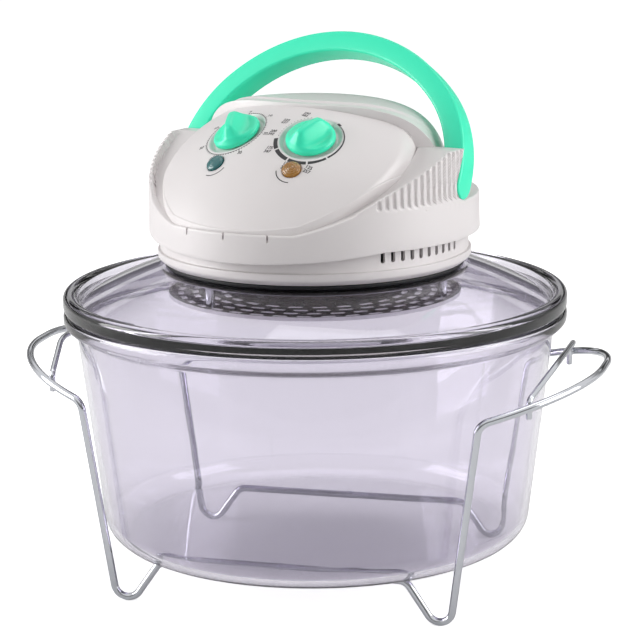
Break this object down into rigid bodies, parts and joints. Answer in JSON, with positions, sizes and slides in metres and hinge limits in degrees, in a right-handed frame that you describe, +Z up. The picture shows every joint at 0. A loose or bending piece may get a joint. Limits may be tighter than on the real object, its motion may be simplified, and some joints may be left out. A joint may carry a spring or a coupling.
{
  "type": "halogen oven",
  "caption": "Round glass bowl oven on a chromed wire stand, with a glass lid that carries a moulded heater head, sloping control panel, turning knobs and a folding carry handle.",
  "frame": {"origin": "on the floor under the centre of the glass bowl, between the four wire feet", "axes": "+Z up, +X from the left handle loop to the right one, front towards -Y"},
  "size_m": [0.3924, 0.333, 0.3623],
  "materials": {
    "stand_chrome": "bright chromed steel wire",
    "clear_glass": "clear pressed glass",
    "black_rubber": "matte silicone rubber",
    "white_plastic": "satin warm white moulding",
    "mint_plastic": "satin mint green moulding",
    "black_plastic": "matte black moulding",
    "pale_plastic": "natural nylon",
    "teal_lens": "clear teal lens",
    "amber_lens": "clear amber lens",
    "lamp_glass": "neon lamp glass",
    "zinc_steel": "zinc plated steel",
    "heater_steel": "bright pressed steel",
    "stator_steel": "varnished steel laminations",
    "brass": "turned brass",
    "aluminium": "pressed aluminium",
    "quartz_glass": "quartz tube",
    "ceramic": "white ceramic",
    "ceramic_board": "pressed fibre board"
  },
  "bodies": {
    "stand": {"left_stand_wire": "stand_chrome", "right_stand_wire": "stand_chrome", "left_bail_wire": "stand_chrome", "right_bail_wire": "stand_chrome"},
    "bowl": {"glass_bowl": "clear_glass"},
    "lid": {"glass_lid": "clear_glass", "head_gasket": "black_rubber", "pan_gasket": "black_rubber", "base_ring": "white_plastic", "upper_casing": "white_plastic", "rear_cover": "white_plastic", "control_panel": "white_plastic", "power_lens": "teal_lens", "heat_lens": "amber_lens", "neon_lamps": "lamp_glass", "timer_body": "zinc_steel", "thermostat_body": "zinc_steel", "handle_pivot_pins": "zinc_steel", "handle_switch": "black_plastic", "heater_pan": "heater_steel", "pan_top_plate": "heater_steel", "insulation_disc": "ceramic_board", "halogen_tube": "quartz_glass", "tube_sockets": "ceramic", "tube_clips": "zinc_steel", "guard_grille": "heater_steel", "guard_posts": "stand_chrome", "guard_screws": "zinc_steel", "motor_plate": "zinc_steel", "motor_posts": "zinc_steel", "motor_lower_bracket": "zinc_steel", "motor_stator": "stator_steel", "motor_upper_bracket": "zinc_steel", "shaft_bushes": "brass", "thermal_cutout": "black_plastic", "pan_bolts": "zinc_steel", "casing_screws": "zinc_steel", "power_inlet": "black_plastic"},
    "handle": {"carry_handle": "mint_plastic"},
    "timer_control": {"timer_shaft": "brass", "timer_knob": "mint_plastic"},
    "thermostat_control": {"thermostat_shaft": "brass", "thermostat_knob": "mint_plastic"},
    "fan_rotor": {"motor_rotor": "stator_steel", "fan_shaft": "zinc_steel", "hot_air_fan": "aluminium", "cooling_fan": "black_plastic", "fan_nut": "brass"},
    "plunger": {"switch_plunger": "pale_plastic"}
  },
  "joints": [
    {"name": "bowl_lift", "type": "slide", "parent": "stand", "child": "bowl", "axis": [0, 0, 1], "range_m": [0, 0.2]},
    {"name": "lid_lift", "type": "slide", "parent": "bowl", "child": "lid", "axis": [0, 0, 1], "range_m": [0, 0.25]},
    {"name": "handle_fold", "type": "hinge", "parent": "lid", "child": "handle", "pos_m": [0.00175, 0.00605, 0.2719], "axis": [-0.9608, 0.2773, 0], "range_deg": [0, 58]},
    {"name": "timer_turn", "type": "hinge", "parent": "lid", "child": "timer_control", "pos_m": [-0.04049, -0.03931, 0.30474], "axis": [0.3068, 0.4319, -0.8481], "range_deg": [0, 300]},
    {"name": "thermostat_turn", "type": "hinge", "parent": "lid", "child": "thermostat_control", "pos_m": [0.01331, -0.05484, 0.30474], "axis": [-0.0295, 0.529, -0.8481], "range_deg": [0, 270]},
    {"name": "fan_spin", "type": "hinge", "parent": "lid", "child": "fan_rotor", "pos_m": [0, 0, 0.23], "axis": [0, 0, 1], "continuous": true},
    {"name": "plunger_press", "type": "slide", "parent": "lid", "child": "plunger", "axis": [0, 0, -1], "range_m": [0, 0.0026]}
  ],
  "couplings": [
    {"joint": "plunger_press", "follows": "handle_fold", "m_per_rad": 0.00247}
  ]
}
